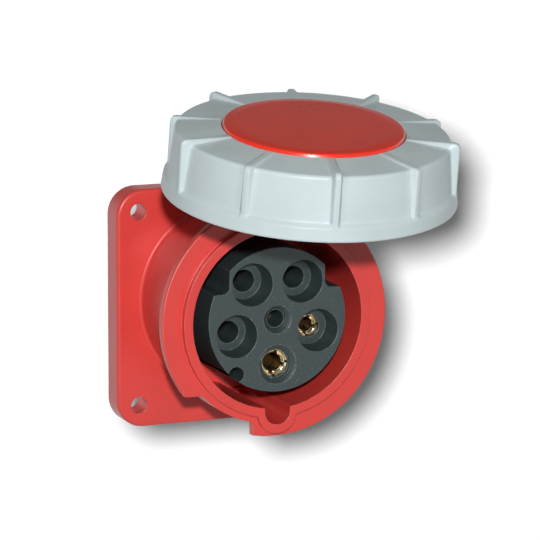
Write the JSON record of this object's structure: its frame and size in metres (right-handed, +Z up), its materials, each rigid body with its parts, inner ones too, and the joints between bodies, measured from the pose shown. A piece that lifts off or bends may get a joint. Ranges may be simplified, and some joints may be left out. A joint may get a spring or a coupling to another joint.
{
  "type": "industrial panel socket",
  "caption": "Round pin-and-sleeve power socket on a square panel flange, with a bayonet collar, a keyway and a hinged watertight lid that stands open.",
  "frame": {"origin": "middle of the bolt pattern in the plane of the flange's rear face", "axes": "+Y out of the back into the panel, -Y along the barrel to the front, +Z up towards the hinge, +X to the right seen from the front"},
  "size_m": [0.1186, 0.1876, 0.1474],
  "materials": {
    "red_plastic": "moulded, satin gloss",
    "cap_red_plastic": "moulded, fine gloss",
    "dark_grey_plastic": "moulded, fine matt",
    "black_plastic": "moulded, matt",
    "pale_grey_plastic": "moulded, satin",
    "cover_grey_plastic": "moulded, satin",
    "white_plastic": "slippery, matt",
    "rubber": "moulded, matt",
    "brass": "turned",
    "screw_brass": "turned",
    "spring_steel": "bright strip",
    "steel": "bright"
  },
  "bodies": {
    "base": {"flange": "red_plastic", "housing": "red_plastic", "flange_gasket": "rubber", "contact_insert": "dark_grey_plastic", "insert_gasket": "rubber", "terminal_carrier": "black_plastic", "contact_l1": "brass", "contact_l2": "brass", "contact_l3": "brass", "contact_neutral": "brass", "contact_earth": "brass", "contact_pilot": "brass", "spring_l1": "spring_steel", "spring_l2": "spring_steel", "spring_l3": "spring_steel", "spring_neutral": "spring_steel", "spring_earth": "spring_steel", "spring_pilot": "spring_steel", "terminal_screws": "screw_brass", "pilot_terminal_screw": "screw_brass", "fixing_screws": "steel", "hinge_pin": "steel"},
    "lid": {"lid_cover": "cover_grey_plastic", "lid_seal": "rubber", "lid_cap": "cap_red_plastic", "ring_washer": "white_plastic", "lid_screws": "steel"},
    "ring": {"locking_ring": "pale_grey_plastic"}
  },
  "joints": [
    {"name": "lid_hinge", "type": "hinge", "parent": "base", "child": "lid", "pos_m": [0, -0.0395, 0.0601], "axis": [-1, 0, 0], "range_deg": [-80.4, 30]},
    {"name": "ring_turn", "type": "hinge", "parent": "lid", "child": "ring", "pos_m": [0, -0.09776, 0.06039], "axis": [0, -0.1668, 0.986], "range_deg": [-45, 0]}
  ]
}
